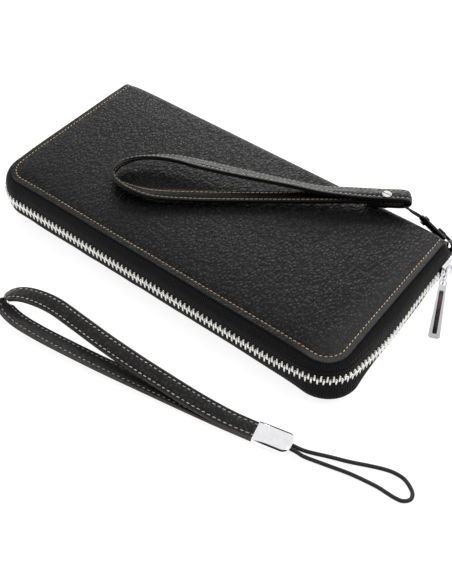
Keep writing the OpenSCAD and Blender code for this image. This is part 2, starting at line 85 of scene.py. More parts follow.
class Nodes:
    """Short forms for building one material's node tree."""

    def __init__(self, name):
        self.mat = bpy.data.materials.new(name)
        self.mat.use_nodes = True
        self.tree = self.mat.node_tree
        self.bsdf = self.tree.nodes["Principled BSDF"]

    def put(self, socket, value):
        if isinstance(value, bpy.types.NodeSocket):
            self.tree.links.new(value, socket)
        elif value is not None:
            if socket.type == "RGBA" and len(value) == 3:
                value = (*value, 1)
            socket.default_value = value

    def node(self, kind, out=0, props=(), **inputs):
        n = self.tree.nodes.new(kind)
        for key, value in dict(props).items():
            setattr(n, key, value)
        for key, value in inputs.items():
            by_number = key[0] == "i" and key[1:].isdigit()
            self.put(n.inputs[int(key[1:]) if by_number else key], value)
        return n.outputs[out]

    def math(self, op, a, b=None):
        return self.node("ShaderNodeMath", props={"operation": op}, i0=a, i1=b)

    def vec(self, op, a, b=None, scale=None):
        return self.node("ShaderNodeVectorMath", props={"operation": op}, i0=a, i1=b, i3=scale)

    def mix(self, f, a, b):
        n = self.tree.nodes.new("ShaderNodeMix")
        n.data_type = "RGBA"
        for k, value in ((0, f), (6, a), (7, b)):
            self.put(n.inputs[k], value)
        return n.outputs[2]

    def ramp(self, f, lo, hi, a=0.0, b=1.0):
        """Runs smoothly from a to b while f runs from lo to hi."""
        return self.node("ShaderNodeMapRange", props={"interpolation_type": "SMOOTHSTEP"},
                         i0=f, i1=lo, i2=hi, i3=a, i4=b)

    def noise(self, v, scale, detail=3, out=0, rough=0.5):
        return self.node("ShaderNodeTexNoise", out, Vector=v, Scale=scale, Detail=detail, Roughness=rough)

    def voronoi(self, v, scale, feature="F1"):
        return self.node("ShaderNodeTexVoronoi", props={"feature": feature}, Vector=v, Scale=scale)

    def attribute(self, name, out):
        a = self.tree.nodes.new("ShaderNodeAttribute")
        a.attribute_name = name
        return a.outputs[out]

    def rest(self):
        """The point's place at rest, in millimetres, stored on the mesh."""
        return self.attribute("rest", "Vector")

    def place(self):
        """A CAD node's own place, in millimetres."""
        o = self.node("ShaderNodeTexCoord", 3)
        return self.vec("SCALE", o, scale=1000.0)

    def uv(self):
        """x runs along a piece and y across it, in millimetres."""
        s = self.node("ShaderNodeTexCoord", 2)
        n = self.tree.nodes.new("ShaderNodeSeparateXYZ")
        self.tree.links.new(s, n.inputs[0])
        return n.outputs[0], n.outputs[1]

    def bump(self, height, distance, strength=1.0):
        return self.node("ShaderNodeBump", Height=height, Distance=distance, Strength=strength)

    def finish(self, **inputs):
        for key, value in inputs.items():
            self.put(self.bsdf.inputs[key.replace("_", " ")], value)
        return self.mat


def leather(name, dark, light, grain, depth, rough=(0.34, 0.5), spec=0.2):
    """Pebbled grain: long rounded cells parted by creases.

    It is flatter where the mesh's "rim" attribute is 1, and its colour is painted paler there as a
    highlight.
    """
    m = Nodes(name)
    p = m.rest()
    rim = m.attribute("rim", "Fac")
    warp = m.vec("SCALE", m.noise(p, 0.45 / grain, 1, out=1), scale=1.3 * grain)
    turned = m.node("ShaderNodeVectorRotate", props={"rotation_type": "Z_AXIS"},
                    Vector=m.vec("ADD", p, warp), Angle=math.radians(-92))
    q = m.vec("MULTIPLY", turned, (0.68, 1.2, 1.2))
    edge = m.ramp(m.voronoi(q, 1 / grain, "DISTANCE_TO_EDGE"), 0.02, 0.3)
    dome = m.ramp(m.voronoi(q, 1 / grain, "SMOOTH_F1"), 0.75, 0.1)
    split = m.ramp(m.voronoi(q, 1.9 / grain, "DISTANCE_TO_EDGE"), 0.0, 0.22)
    ridge = m.ramp(m.noise(m.vec("MULTIPLY", turned, (0.35, 1.5, 1.5)), 0.9 / grain, 1), 0.3, 0.7)
    h = m.math("ADD", m.math("MULTIPLY", edge, 0.22), m.math("MULTIPLY", dome, 0.5))
    h = m.math("ADD", h, m.math("MULTIPLY", ridge, 0.3))
    h = m.math("ADD", h, m.math("MULTIPLY", split, 0.08))
    h = m.math("ADD", h, m.math("MULTIPLY", m.noise(p, 4.0 / grain, 2), 0.04))
    flat = m.ramp(rim, 0, 1, 1.0, 0.3)
    broad = m.noise(p, 0.028, 3)
    # Broad random tone, times a colour painted darker in the creases between cells: painted shade.
    tone = m.math("MULTIPLY", m.ramp(broad, 0.35, 0.68, 0.65, 1.0), m.ramp(edge, 0, 1, 0.6, 1.0))
    # Where rim is 1 the colour turns to nine times the light colour: a painted highlight.
    colour = m.mix(rim, m.mix(tone, dark, light), tuple(9 * c for c in light))
    roughness = m.ramp(m.math("ADD", dome, m.math("MULTIPLY", m.noise(p, 0.12, 2), 0.5)), 0.3, 1.1,
                       rough[1], rough[0])
    shine = m.math("MULTIPLY", m.ramp(edge, 0, 1, 0.6, 1.0), spec)
    return m.finish(Base_Color=colour, Roughness=roughness, Specular_IOR_Level=shine,
                    Normal=m.bump(m.math("MULTIPLY", h, flat), depth * MM))


def smooth_leather(name, dark, light, depth=0.04, rough=0.5, spec=0.4):
    """Leather without grain: fine pores and long faint streaks."""
    m = Nodes(name)
    p = m.rest()
    pores = m.voronoi(p, 2.4, "F1")
    streak = m.noise(m.vec("MULTIPLY", p, (0.5, 0.5, 2.4)), 1.2, 4)
    colour = m.mix(m.ramp(streak, 0.3, 0.7), dark, light)
    h = m.math("ADD", m.math("MULTIPLY", m.ramp(pores, 0, 0.3), 0.5), streak)
    return m.finish(Base_Color=colour, Roughness=m.ramp(streak, 0.3, 0.7, rough + 0.08, rough - 0.08),
                    Specular_IOR_Level=spec, Normal=m.bump(h, depth * MM, 0.8))


def herringbone(name, dark, light, rib=1.0, column=2.4, depth=0.14):
    """Woven tape: slanting ribs that turn back at each column's edge."""
    m = Nodes(name)
    u, v = m.uv()
    zig = m.math("PINGPONG", v, column)
    sway = m.math("MULTIPLY", m.noise(m.rest(), 0.25, 2), 1.2)
    along = m.math("ADD", m.math("ADD", u, sway), m.math("MULTIPLY", zig, 0.3))
    twill = m.math("SINE", m.math("MULTIPLY", along, 2 * math.pi / rib))
    weft = m.math("SINE", m.math("MULTIPLY", v, 2 * math.pi / (rib * 0.6)))
    fold = m.ramp(zig, 0.0, 0.18)
    h = m.math("ADD", m.math("MULTIPLY", twill, 0.55), m.math("MULTIPLY", weft, 0.12))
    h = m.math("ADD", h, m.math("MULTIPLY", fold, 0.12))
    fuzz = m.noise(m.rest(), 3.0, 4)
    # Colour follows the ribs' height, paler on their tops and darker in the grooves and at the column
    # folds: painted highlight and shade; fuzz darkens it at random.
    tone = m.math("MULTIPLY", m.ramp(h, -0.6, 1.1), m.ramp(fuzz, 0.25, 0.75, 0.5, 1.0))
    return m.finish(Base_Color=m.mix(tone, dark, light), Roughness=0.85, Specular_IOR_Level=0.18,
                    Sheen_Weight=0.06, Sheen_Roughness=0.35,
                    Normal=m.bump(m.math("ADD", h, m.math("MULTIPLY", fuzz, 0.3)), depth * MM, 0.9))


def cloth(name, dark, light, pitch=0.55, depth=0.06):
    """Plain weave with uneven yarns."""
    m = Nodes(name)
    p = m.rest()
    s = m.tree.nodes.new("ShaderNodeSeparateXYZ")
    m.put(s.inputs[0], p)
    w = 2 * math.pi / pitch
    a = m.math("SINE", m.math("MULTIPLY", s.outputs[0], w))
    b = m.math("SINE", m.math("MULTIPLY", m.math("ADD", s.outputs[1], s.outputs[2]), w))
    h = m.math("MULTIPLY", a, b)
    slub = m.noise(m.vec("MULTIPLY", p, (0.15, 1.2, 1.2)), 1.0, 3)
    tone = m.math("ADD", m.ramp(h, -1, 1, 0.0, 0.5), m.ramp(slub, 0.3, 0.7, 0.0, 0.5))
    return m.finish(Base_Color=m.mix(tone, dark, light), Roughness=0.85, Specular_IOR_Level=0.2,
                    Sheen_Weight=0.2, Normal=m.bump(m.math("ADD", h, slub), depth * MM, 0.8))


def thread(name, dark, light):
    """Twisted sewing thread."""
    m = Nodes(name)
    u, v = m.uv()
    ply = m.math("SINE", m.math("MULTIPLY", m.math("ADD", u, m.math("MULTIPLY", v, 0.9)), 14.0))
    blotch = m.ramp(m.noise(m.rest(), 0.7, 2), 0.3, 0.7, -0.2, 0.3)
    tone = m.math("ADD", m.ramp(ply, -1, 1, 0.15, 0.7), blotch)
    return m.finish(Base_Color=m.mix(tone, dark, light), Roughness=0.6, Sheen_Weight=0.2,
                    Normal=m.bump(ply, 0.03 * MM, 0.8))


def braid(name, dark, light, pitch=1.5, depth=0.12):
    """Round braided cord: two sets of crossing ribs."""
    m = Nodes(name)
    u, v = m.uv()
    a = m.math("ABSOLUTE", m.math("SINE", m.math("MULTIPLY", m.math("ADD", u, v), math.pi / pitch)))
    b = m.math("ABSOLUTE", m.math("SINE", m.math("MULTIPLY", m.math("SUBTRACT", u, v), math.pi / pitch)))
    h = m.math("MAXIMUM", a, b)
    fuzz = m.noise(m.rest(), 5.0, 3)
    return m.finish(Base_Color=m.mix(m.math("MULTIPLY", h, m.ramp(fuzz, 0.3, 0.7)), dark, light),
                    Roughness=0.7, Sheen_Weight=0.2, Normal=m.bump(h, depth * MM, 0.9))


def metal(name, colour, rough, cad=True, scratch=0.05, tint=None):
    """Plated metal with faint smears and rub lines. cad says that it is for a CAD node's own mesh."""
    m = Nodes(name)
    p = m.place() if cad else m.rest()
    smear = m.noise(p, 0.35, 4)
    lines = m.noise(m.vec("MULTIPLY", p, (0.6, 6.0, 6.0)), 1.0, 4, rough=0.7)
    r = m.math("ADD", m.ramp(smear, 0.3, 0.7, rough * 0.7, rough * 1.35),
               m.math("MULTIPLY", m.ramp(lines, 0.55, 0.75), scratch))
    shade = m.mix(m.ramp(smear, 0.3, 0.75), colour, tint or tuple(0.9 * c for c in colour))
    return m.finish(Base_Color=shade, Metallic=1.0, Roughness=r,
                    Normal=m.bump(m.math("ADD", lines, smear), 0.006 * MM, 0.5))


def board(name):
    """Pressed fibre board."""
    m = Nodes(name)
    p = m.place()
    fibre = m.noise(m.vec("MULTIPLY", p, (0.4, 3.0, 3.0)), 0.9, 5, rough=0.7)
    fleck = m.noise(p, 2.2, 4)
    tone = m.math("ADD", m.ramp(fibre, 0.3, 0.7, 0.0, 0.6), m.ramp(fleck, 0.4, 0.7, 0.0, 0.4))
    return m.finish(Base_Color=m.mix(tone, (0.3, 0.21, 0.12), (0.5, 0.39, 0.26)), Roughness=0.85,
                    Normal=m.bump(fibre, 0.05 * MM, 0.7))


MAT = {
    "cover": leather("cover_leather", (0.0008, 0.0008, 0.001), (0.0045, 0.0045, 0.0047), 1.6, 0.27),
    "edge": smooth_leather("painted_edge", (0.012, 0.012, 0.013), (0.026, 0.026, 0.027), 0.04, 0.4),
    "suede": smooth_leather("leather_back", (0.03, 0.027, 0.026), (0.06, 0.054, 0.05), 0.08, 0.85),
    "strap": leather("strap_leather", (0.001, 0.001, 0.0013), (0.006, 0.006, 0.007), 2.0, 0.16,
                     (0.3, 0.4), 0.4),
    "strap_edge": smooth_leather("strap_edge", (0.001, 0.001, 0.001), (0.005, 0.005, 0.005), 0.05,
                                 0.36, 0.3),
    "spare_edge": smooth_leather("spare_strap_edge", (0.03, 0.022, 0.021), (0.075, 0.058, 0.055), 0.06,
                                 0.55),
    "backing": smooth_leather("strap_backing", (0.001, 0.001, 0.001), (0.004, 0.004, 0.0045), 0.05,
                              0.5, 0.08),
    "spare_backing": smooth_leather("spare_backing", (0.009, 0.009, 0.01), (0.02, 0.02, 0.023), 0.05,
                                    0.5, 0.2),
    "pocket": smooth_leather("pocket_leather", (0.016, 0.015, 0.015), (0.034, 0.032, 0.032), 0.06, 0.48),
    "lining": cloth("lining_cloth", (0.02, 0.019, 0.02), (0.06, 0.057, 0.06)),
    "tape": herringbone("zip_tape", (0.0008, 0.0008, 0.0009), (0.022, 0.022, 0.023), depth=0.2),
    "gold": thread("cover_thread", (0.42, 0.25, 0.1), (0.9, 0.68, 0.4)),
    "tan": thread("strap_back_thread", (0.36, 0.25, 0.13), (0.8, 0.6, 0.36)),
    "beige": thread("strap_thread", (0.36, 0.33, 0.26), (0.78, 0.73, 0.62)),
    "grey_thread": thread("pocket_thread", (0.03, 0.03, 0.03), (0.09, 0.088, 0.085)),
    "cord": braid("cord_braid", (0.002, 0.002, 0.0025), (0.014, 0.014, 0.016)),
    "nickel": metal("zip_nickel", (0.85, 0.84, 0.81), 0.2, scratch=0.08),
    "nickel_piece": metal("zip_nickel_piece", (0.82, 0.81, 0.77), 0.26, cad=False, scratch=0.08),
    "steel": metal("rivet_steel", (0.62, 0.61, 0.59), 0.2, scratch=0.1, tint=(0.42, 0.41, 0.4)),
    "chrome": metal("chrome", (0.86, 0.86, 0.88), 0.05, scratch=0.03),
    "chrome_piece": metal("chrome_piece", (0.88, 0.88, 0.9), 0.05, cad=False, scratch=0.03),
    "recess": metal("dark_recess", (0.1, 0.085, 0.08), 0.2, cad=False, scratch=0.05,
                    tint=(0.03, 0.026, 0.025)),
    "dark": metal("black_nickel", (0.035, 0.035, 0.038), 0.2, scratch=0.06, tint=(0.018, 0.018, 0.02)),
    "board": board("fibre_board"),
}


# ---------------------------------------------------------------- mesh helpers

def curve_through(points, n):
    """Smooth curve through given rows of numbers."""
    P = np.array(points, float)
    out = []
    for i in range(len(P) - 1):
        a, b, c, d = P[max(i - 1, 0)], P[i], P[i + 1], P[min(i + 2, len(P) - 1)]
        for t in np.arange(n) / n:
            out.append(0.5 * (2 * b + (c - a) * t + (2 * a - 5 * b + 4 * c - d) * t * t
                              + (3 * b - a - 3 * c + d) * t ** 3))
    return np.array([*out, P[-1]])


def unit(v):
    return v / np.maximum(np.linalg.norm(v, axis=-1, keepdims=True), 1e-9)


def tangents(P):
    return unit(np.gradient(P, axis=0))


def lengths(P):
    return np.concatenate([[0], np.cumsum(np.linalg.norm(np.diff(P, axis=0), axis=1))])


def mesh_piece(name, verts, faces, mats, face_mat=None, uvs=None):
    """Makes a mesh from millimetres. uvs holds one pair for each corner of each face."""
    verts = np.asarray(verts, float)
    me = bpy.data.meshes.new(name)
    me.from_pydata((verts * MM).tolist(), [], [tuple(map(int, f)) for f in faces])
    for m in mats:
        me.materials.append(MAT[m])
    if face_mat is not None:
        me.polygons.foreach_set("material_index", np.asarray(face_mat, np.int32))
    if uvs is not None:
        me.uv_layers.new(name="uv").data.foreach_set("uv", np.asarray(uvs, np.float32).ravel())
    bm = bmesh.new()
    bm.from_mesh(me)
    bmesh.ops.recalc_face_normals(bm, faces=bm.faces)
    bm.to_mesh(me)
    bm.free()
    me.shade_smooth()
    me.update()
    return add_object(name, me)


def settle(ob):
    """Applies the piece's modifiers and stores each point's place at rest."""
    if ob.modifiers:
        dg = bpy.context.evaluated_depsgraph_get()
        me = bpy.data.meshes.new_from_object(ob.evaluated_get(dg))
        ob.modifiers.clear()
        ob.data = me
    me = ob.data
    co = np.empty(len(me.vertices) * 3, np.float32)
    me.vertices.foreach_get("co", co)
    a = me.attributes.get("rest") or me.attributes.new("rest", "FLOAT_VECTOR", "POINT")
    a.data.foreach_set("vector", co * 1000)
    return ob


def modifier(ob, kind, **settings):
    mod = ob.modifiers.new(kind.lower(), kind)
    for key, value in settings.items():
        setattr(mod, key, value)
    return mod


def loft(name, rings, mats, face_mat=None, caps=True):
    """Skin over closed rings of equal size. face_mat gives the material of each step round the ring."""
    rings = np.asarray(rings, float)
    m, k = rings.shape[:2]
    centre = rings.mean(1)
    u = lengths(centre)
    ring = rings[m // 2]
    v = lengths(np.vstack([ring, ring[:1]]))
    faces, uvs, fm = [], [], []
    for i in range(m - 1):
        for j in range(k):
            b = (j + 1) % k
            faces.append((i * k + j, i * k + b, (i + 1) * k + b, (i + 1) * k + j))
            uvs += [(u[i], v[j]), (u[i], v[j + 1]), (u[i + 1], v[j + 1]), (u[i + 1], v[j])]
            fm.append(face_mat[j] if face_mat is not None else 0)
    if caps:
        for base in (0, (m - 1) * k):
            faces.append(tuple(base + j for j in range(k)))
            uvs += [(0, v[j]) for j in range(k)]
            fm.append(fm[0] if face_mat is None else max(face_mat))
    return mesh_piece(name, rings.reshape(-1, 3), faces, mats, fm, uvs)


def grid_faces(rows, cols):
    """The faces between neighbouring rows of points."""
    return [(i * cols + j, i * cols + j + 1, (i + 1) * cols + j + 1, (i + 1) * cols + j)
            for i in range(rows - 1) for j in range(cols - 1)]


def rounded_box(x0, x1, y0, y1, r, n):
    """Outline of a box with rounded corners, n points to a corner, anticlockwise from its right side."""
    out = []
    for cx, cy, a0 in ((x1 - r, y1 - r, 0), (x0 + r, y1 - r, 90), (x0 + r, y0 + r, 180),
                       (x1 - r, y0 + r, 270)):
        for a in np.linspace(a0, a0 + 90, n):
            out.append((cx + r * math.cos(math.radians(a)), cy + r * math.sin(math.radians(a))))
    return out


def capsule(length, radius, sides=6, flat=0.75):
    """Points and faces of one stitch lying along x."""
    half = length / 2
    x = np.array([0.25 * radius - half, radius - half, 0, half - radius, half - 0.25 * radius])
    r = radius * np.array([0.6, 0.95, 1.1, 0.95, 0.6])
    pts = [(-half, 0, -0.15 * radius)]
    for xi, ri in zip(x, r):
        for j in range(sides):
            a = 2 * math.pi * j / sides
            pts.append((xi, ri * math.cos(a), flat * ri * math.sin(a)))
    pts.append((half, 0, -0.15 * radius))
    faces = [(0, 1 + (j + 1) % sides, 1 + j) for j in range(sides)]
    for i in range(len(x) - 1):
        for j in range(sides):
            a, b = 1 + i * sides + j, 1 + i * sides + (j + 1) % sides
            faces.append((a, b, b + sides, a + sides))
    base = 1 + (len(x) - 1) * sides
    faces += [(base + j, base + (j + 1) % sides, len(pts) - 1) for j in range(sides)]
    return np.array(pts), faces


def stitches(name, centres, along, up, length, radius, mat, slant=8.0):
    """One piece holding a stitch at each centre, turned a little to the line of the seam."""
    pts, faces = capsule(length, radius)
    turn = [math.degrees(math.atan2(p[2], p[1])) / 180 for p in pts]
    T, N = unit(np.asarray(along, float)), unit(np.asarray(up, float))
    A = np.cross(N, T)
    verts, allf, uvs = [], [], []
    for i, c in enumerate(np.asarray(centres, float)):
        a = math.radians(slant + rng.normal(0, 2.2))
        t = T[i] * math.cos(a) + A[i] * math.sin(a)
        s = np.cross(N[i], t)
        q = pts * [1 + rng.normal(0, 0.04), 1, 1]
        verts.append(c + q[:, :1] * t + q[:, 1:2] * s + q[:, 2:] * N[i])
        base = i * len(pts)
        for f in faces:
            allf.append(tuple(base + k for k in f))
            uvs += [(pts[k][0] + 3 * i, turn[k]) for k in f]
    return settle(mesh_piece(name, np.vstack(verts), allf, [mat], None, uvs))


# ---------------------------------------------------------------- cords and straps

CORD_RADIUS = 0.85

# The cord's middle line, in metres
CORD_ROUTE = [
    [0.09765, -0.0727, 0.0026], [0.1002, -0.0721, 0.0021], [0.1025, -0.0711, 0.0013],
    [0.1055, -0.0698, 0.00095], [0.112, -0.067, 0.00095], [0.1195, -0.064, 0.00095],
    [0.127, -0.0605, 0.00095], [0.1325, -0.0582, 0.00095], [0.1365, -0.0572, 0.00095],
    [0.1405, -0.0572, 0.00095], [0.144, -0.0587, 0.00095], [0.1465, -0.0608, 0.00095],
    [0.147, -0.0635, 0.00095], [0.145, -0.0658, 0.00095], [0.142, -0.0665, 0.00095],
    [0.1385, -0.0666, 0.00095], [0.135, -0.0666, 0.00095], [0.131, -0.067, 0.00095],
    [0.1225, -0.0684, 0.00095], [0.1145, -0.0705, 0.00095], [0.107, -0.0725, 0.00095],
    [0.1035, -0.0735, 0.0013], [0.101, -0.07395, 0.0021], [0.0981, -0.0745, 0.0026]]

# Each strap's middle line: x, y, z in millimetres, then the direction across the strap
WRIST_ROUTE = [
    [57, 43.8, 27.6, -0.57, 0.82, 0], [64, 48.7, 27.6, -0.57, 0.82, 0],
    [71, 53.6, 27.7, -0.57, 0.82, 0], [73, 55, 29.6, -0.57, 0.82, 0],
    [71, 53.6, 31.5, -0.57, 0.82, 0], [64, 48.7, 31.6, -0.57, 0.82, 0],
    [50, 39.2, 32.1, -0.53, 0.85, -0.1], [37.6, 32.2, 32, -0.46, 0.83, -0.33],
    [24.5, 26.5, 32.6, -0.41, 0.84, -0.4], [11.5, 21.3, 32.9, -0.38, 0.87, -0.33],
    [-2.5, 16.2, 32.9, -0.36, 0.9, -0.25], [-16.5, 11.8, 32.5, -0.36, 0.9, -0.22],
    [-28.3, 8, 32.3, -0.38, 0.82, -0.36], [-38.3, 3, 31.9, -0.4, 0.72, -0.52],
    [-46, -3.9, 31.4, -0.4, 0.6, -0.66], [-49.4, -11, 30.9, -0.4, 0.54, -0.72],
    [-48.1, -17.2, 30.4, -0.4, 0.52, -0.75], [-42.3, -20.2, 30.1, -0.42, 0.6, -0.68],
    [-33.3, -19.4, 29.8, -0.5, 0.74, -0.42], [-23.7, -15.8, 29.3, -0.57, 0.81, -0.15],
    [-9.6, -6.1, 29, -0.6, 0.8, 0], [6.4, 6, 28.8, -0.6, 0.8, 0],
    [28.2, 22.7, 28.8, -0.6, 0.8, 0], [50, 38.8, 29.5, -0.57, 0.82, 0],
    [62, 47.3, 29.65, -0.57, 0.82, 0]]

SPARE_ROUTE = [
    [88, -75.7, 3.6, -0.22, 0.97, 0], [82, -77.1, 3.6, -0.22, 0.97, 0],
    [70, -79.7, 4.2, -0.18, 0.98, 0.08], [55, -81.7, 5.3, -0.12, 0.95, 0.2],
    [39, -82.8, 6.4, -0.08, 0.92, 0.25], [24, -83.6, 7.4, -0.05, 0.9, 0.3],
    [6, -83.8, 8.1, -0.02, 0.9, 0.3], [-12, -83.3, 8.6, -0.02, 0.9, 0.3],
    [-26, -83.1, 8.9, -0.1, 0.92, 0.25], [-37, -84.8, 8.6, -0.25, 0.93, 0.1],
    [-45, -87.8, 7.8, -0.45, 0.85, -0.1], [-49, -92, 6.2, -0.5, 0.8, -0.3],
    [-46.5, -95.2, 4.7, -0.35, 0.88, -0.3], [-38, -96.6, 3.9, -0.2, 0.93, -0.25],
    [-26, -96, 3.6, -0.15, 0.95, -0.22], [-10, -94, 3.4, -0.15, 0.96, -0.2],
    [10, -90.9, 3, -0.17, 0.96, -0.18], [33, -86.6, 2.4, -0.18, 0.97, -0.12],
    [55, -82.4, 1.9, -0.19, 0.98, -0.05], [70, -79.4, 1.7, -0.2, 0.98, 0],
    [82, -76.9, 1.65, -0.22, 0.97, 0], [88, -75.5, 1.65, -0.22, 0.97, 0]]


def make_cord():
    P = curve_through(CORD_ROUTE, 6) / MM
    T = tangents(P)
    A = unit(np.cross([0, 0, 1], T))
    N = np.cross(T, A)
    k = 12
    a = 2 * np.pi * np.arange(k) / k
    rings = P[:, None] + CORD_RADIUS * (A[:, None] * np.cos(a)[:, None] + N[:, None] * np.sin(a)[:, None])
    ob = settle(loft("cord", rings, ["cord"]))
    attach(ob, "spare_strap")
    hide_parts("cord_loop")


def strap_frames(route, n):
    """Places along a strap, with the directions along it, across it and out of its inner face."""
    R = curve_through(route, n)
    P, A = R[:, :3], R[:, 3:]
    T = tangents(P)
    A = unit(A - (A * T).sum(1, keepdims=True) * T)
    return P, T, A, np.cross(T, A)


def sweep_section(P, A, N, section):
    """One ring at each place: the section's pairs run across the strap and out of its inner face."""
    return P[:, None] + A[:, None] * section[None, :, :1] + N[:, None] * section[None, :, 1:]


def at_distance(q, s, X):
    """The rows of X at the distances q, where s is each row's distance."""
    return np.stack([np.interp(q, s, column) for column in X.T], 1)


def make_strap(name, route, width, ply, body, nodes, edge, backing, inner_thread, pitch):
    """Two plies glued and sewn: grained face, painted edges with a seam line, smooth inner face."""
    P, T, A, N = strap_frames(route, 10)
    h, t, row = width / 2, ply + 0.05, 0.31 * width
    face = [(-h + 0.5, -t), (-row - 0.45, -t - 0.03), (-row, -t + 0.08), (-row + 0.45, -t - 0.12),
            (-row * 0.4, -t - 0.28), (row * 0.4, -t - 0.28), (row - 0.45, -t - 0.12),
            (row, -t + 0.08), (row + 0.45, -t - 0.03), (h - 0.5, -t)]
    side = [(h - 0.14, -t + 0.12), (h, -t + 0.42), (h - 0.02, -0.16), (h - 0.2, 0), (h - 0.02, 0.16),
            (h, t - 0.42), (h - 0.14, t - 0.12)]
    inner = [(h - 0.5, t), (row + 0.4, t), (row, t - 0.12), (row - 0.4, t), (0, t + 0.02),
             (-row + 0.4, t), (-row, t - 0.12), (-row - 0.4, t), (-h + 0.5, t)]
    other = [(-a, d) for a, d in side[::-1]]
    section = np.array(face + side + inner + other)
    mats = [0] * (len(face) - 1) + [1] * (len(side) + 1)
    mats += [2] * (len(inner) - 1) + [1] * (len(other) + 1)
    ob = settle(loft(name, sweep_section(P, A, N, section), ["strap", edge, backing], mats))
    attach(ob, body)
    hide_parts(*nodes)
    s = lengths(P)
    first = np.arange(1.2, s[-1] - 1.0, pitch)
    inner_share = 0.82 if inner_thread == "tan" else 0.5
    # Side of the strap, share of the pitch that a stitch fills, its radius, its height over the ply
    for way, share, r, proud, mat, which in ((-1, 0.6, 0.22, 0.07, "beige", "_outer_stitches"),
                                             (1, inner_share, 0.16, -0.04, inner_thread,
                                              "_inner_stitches")):
        rows = []
        for sign in (-1, 1):
            q = first + 0.3 * sign + 0.5 * pitch * (way > 0)
            out = at_distance(q, s, N) * way
            c = at_distance(q, s, P) + at_distance(q, s, A) * (sign * row) + out * (t + proud)
            rows.append((c, at_distance(q, s, T), out))
        st = stitches(name + which, *(np.vstack(x) for x in zip(*rows)), pitch * share, r, mat, slant=6)
        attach(st, body)


# ---------------------------------------------------------------- cover and lining

def edge_distance(x, y):
    """Distance in from the cover's three open edges."""
    qx, qy = abs(x) - (HALF - CORNER), -y - (FRONT - CORNER)
    return CORNER - (math.hypot(max(qx, 0), max(qy, 0)) + min(max(qx, qy), 0))


def smoothstep(a, b, x):
    t = min(max((x - a) / (b - a), 0), 1)
    return t * t * (3 - 2 * t)


def bell(distance, width):
    return math.exp(-(distance / width) ** 2)


def ripple(x, y):
    return max(0.12 * (noise.noise(Vector((x / 34, y / 27, 0.3))) + 0.5), 0)


def seam_groove(d):
    return 0.24 * bell(d - SEAM, 0.45)


def corner_distance(x, y):
    """Distance from the middle of the cover's front corner. x is negative at the left-hand one."""
    return math.hypot(x - HALF + 5, y + FRONT - 5)


def sink(x, y):
    """How far the closed wallet's upper face lies below a flat plate."""
    d = edge_distance(x, y)
    edge = (0.5 + 0.8 * bell(corner_distance(abs(x), y), 13)) * (1 - smoothstep(0, 8, d))
    ends = 0.5 * (1 - smoothstep(0, 20, d))
    spine = 0.3 * smoothstep(SPINE - 20, SPINE - ROLL, y)
    return edge + ends + spine + seam_groove(d) + ripple(x, y)


def lift(x, y):
    """How far the lower face stands off the table: it rests on its middle and curls up to its edges."""
    d = edge_distance(x, y)
    curl = 1.5 * (1 - 0.95 * bell(corner_distance(x, y), 26))
    return curl * (1 - smoothstep(0, 16, d)) + 0.5 * seam_groove(d)


def smooth_and_painted_highlight(x, y):
    """Strip outside the seam where the leather is pressed smooth and painted paler as a highlight, widest
    at the right-hand end, which also gets a broad painted highlight.
    """
    d = edge_distance(x, y)
    right = smoothstep(HALF - 24, HALF - 3, x)
    strip = (1 - smoothstep(1.7, 2.4, d)) * (0.22 + 0.78 * right)
    return min(strip + 0.55 * right * (1 - smoothstep(2, 22, d)), 1)


# Distances in from the front edge and from the side edges at which the wrap has a row of points
ROW_STEPS = [0, 0.15, 0.6, 1.3, 1.9, 2.5, 3.1, 3.8, 5, 6.8, 9.2]
SIDE_STEPS = [0, 0.6, 1.3, 1.9, 2.5, 3.1, 3.8, 5, 7, 9.5]
MIDDLE_COLUMNS = 52


